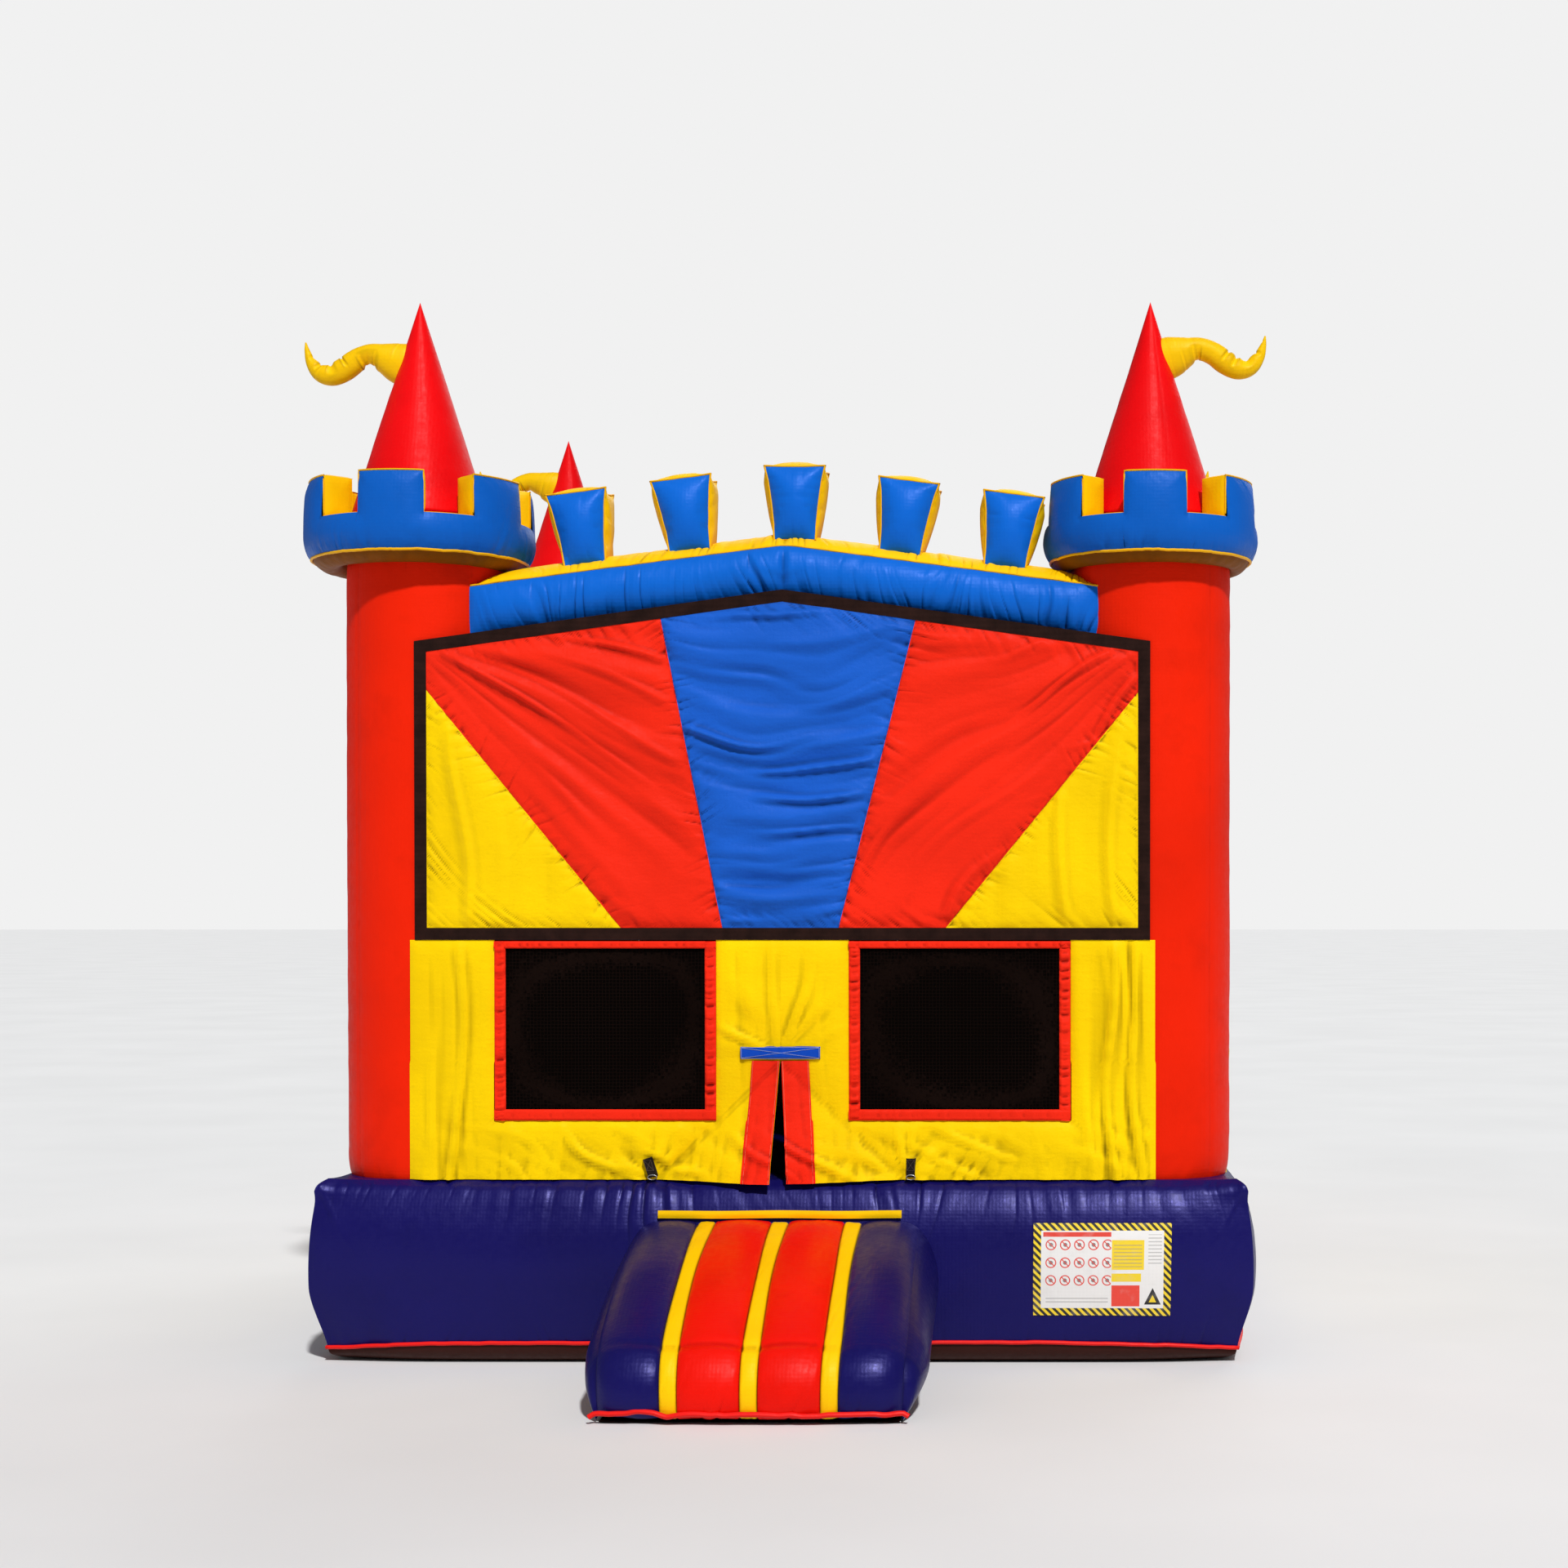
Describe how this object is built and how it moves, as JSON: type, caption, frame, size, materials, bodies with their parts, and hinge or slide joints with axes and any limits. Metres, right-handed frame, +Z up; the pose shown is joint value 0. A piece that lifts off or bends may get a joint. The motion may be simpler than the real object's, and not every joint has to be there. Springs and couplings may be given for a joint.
{
  "type": "inflatable bounce house",
  "caption": "Inflatable castle bounce house with corner towers, netted windows, slit door flaps, banner frame and entrance ramp.",
  "frame": {"origin": "on the ground, under the centre of the square base", "axes": "+Z up, -Y out of the entrance and down the ramp, +X to the right seen from the entrance"},
  "size_m": [4.0542, 6.067, 4.462],
  "materials": {
    "vinyl_orange_red": "coated vinyl fabric, orange-red, semi-matt",
    "vinyl_red": "coated vinyl fabric, red, semi-matt",
    "vinyl_blue": "coated vinyl fabric, royal blue, semi-matt",
    "vinyl_yellow": "coated vinyl fabric, yellow, semi-matt",
    "vinyl_navy": "coated vinyl fabric, navy blue, semi-matt",
    "vinyl_black": "coated vinyl fabric, black, matt",
    "net_black": "knotless mesh net, black",
    "loop_tape": "woven loop tape, brown-black",
    "webbing": "polyester webbing, black",
    "placard": "printed vinyl patch, plain pictograms",
    "zinc": "zinc-plated welded wire",
    "zip_metal": "moulded coil zip, black"
  },
  "bodies": {
    "castle": {"anchor_tabs": "webbing", "base_piping": "vinyl_red", "base_tube": "vinyl_navy", "base_underside": "vinyl_black", "beam_front": "vinyl_blue", "beam_left": "vinyl_blue", "beam_rear": "vinyl_blue", "beam_right": "vinyl_blue", "blower_sleeve": "vinyl_navy", "cone_front_left": "vinyl_red", "cone_front_right": "vinyl_red", "cone_rear_left": "vinyl_red", "cone_rear_right": "vinyl_red", "door_header": "vinyl_blue", "floor_baffles": "vinyl_navy", "floor_channels": "vinyl_navy", "front_wall_lower": "vinyl_yellow", "hem_tabs": "webbing", "hook_loop_border": "loop_tape", "keystone_1": "vinyl_blue", "keystone_2": "vinyl_blue", "keystone_3": "vinyl_blue", "keystone_4": "vinyl_blue", "keystone_5": "vinyl_blue", "net_frames": "vinyl_red", "pennants": "vinyl_yellow", "ramp_bands": "vinyl_yellow", "ramp_body": "vinyl_navy", "ramp_lanes": "vinyl_red", "ray_blue_centre": "vinyl_blue", "ray_red_left": "vinyl_orange_red", "ray_red_right": "vinyl_orange_red", "ray_yellow_left": "vinyl_yellow", "ray_yellow_right": "vinyl_yellow", "roof_panel": "vinyl_blue", "rules_placard": "placard", "safety_nets": "net_black", "sleeve_strap": "webbing", "tower_front_left": "vinyl_orange_red", "tower_front_right": "vinyl_orange_red", "tower_rear_left": "vinyl_orange_red", "tower_rear_right": "vinyl_orange_red", "turret_front_left": "vinyl_blue", "turret_front_right": "vinyl_blue", "turret_rear_left": "vinyl_blue", "turret_rear_right": "vinyl_blue", "wall_left": "vinyl_yellow", "wall_rear": "vinyl_yellow", "wall_right": "vinyl_yellow", "zip_tape": "zip_metal"},
    "door_left": {"door_flap_left": "vinyl_yellow", "door_hem_left": "vinyl_red"},
    "door_right": {"door_flap_right": "vinyl_yellow", "door_hem_right": "vinyl_red"},
    "zip_slider": {"zip_slider": "zip_metal"},
    "zip_cover": {"zip_cover": "vinyl_navy"},
    "anchor_ring_front_left": {"anchor_ring_front_left": "zinc"},
    "anchor_ring_front_right": {"anchor_ring_front_right": "zinc"},
    "anchor_ring_rear_left": {"anchor_ring_rear_left": "zinc"},
    "anchor_ring_rear_right": {"anchor_ring_rear_right": "zinc"}
  },
  "joints": [
    {"name": "door_left_fold", "type": "hinge", "parent": "castle", "child": "door_left", "pos_m": [-0.007, -1.855, 1.24], "axis": [-0.7194, 0, -0.6946], "range_deg": [-60, 90]},
    {"name": "door_right_fold", "type": "hinge", "parent": "castle", "child": "door_right", "pos_m": [-0.007, -1.855, 1.24], "axis": [-0.7194, 0, 0.6946], "range_deg": [-60, 90]},
    {"name": "zip_slide", "type": "slide", "parent": "castle", "child": "zip_slider", "axis": [1, 0, 0], "range_m": [0, 0.54]},
    {"name": "zip_cover_hinge", "type": "hinge", "parent": "castle", "child": "zip_cover", "pos_m": [0.6, 1.9991, 0.476], "axis": [1, 0, 0], "range_deg": [0, 150]},
    {"name": "ring_front_left_swing", "type": "hinge", "parent": "castle", "child": "anchor_ring_front_left", "pos_m": [-1.9862, -1.5, 0.318], "axis": [0, 1, 0], "range_deg": [0, 120]},
    {"name": "ring_front_right_swing", "type": "hinge", "parent": "castle", "child": "anchor_ring_front_right", "pos_m": [1.9862, -1.5, 0.318], "axis": [0, -1, 0], "range_deg": [0, 120]},
    {"name": "ring_rear_left_swing", "type": "hinge", "parent": "castle", "child": "anchor_ring_rear_left", "pos_m": [-1.9862, 1.5, 0.318], "axis": [0, 1, 0], "range_deg": [0, 120]},
    {"name": "ring_rear_right_swing", "type": "hinge", "parent": "castle", "child": "anchor_ring_rear_right", "pos_m": [1.9862, 1.5, 0.318], "axis": [0, -1, 0], "range_deg": [0, 120]}
  ]
}
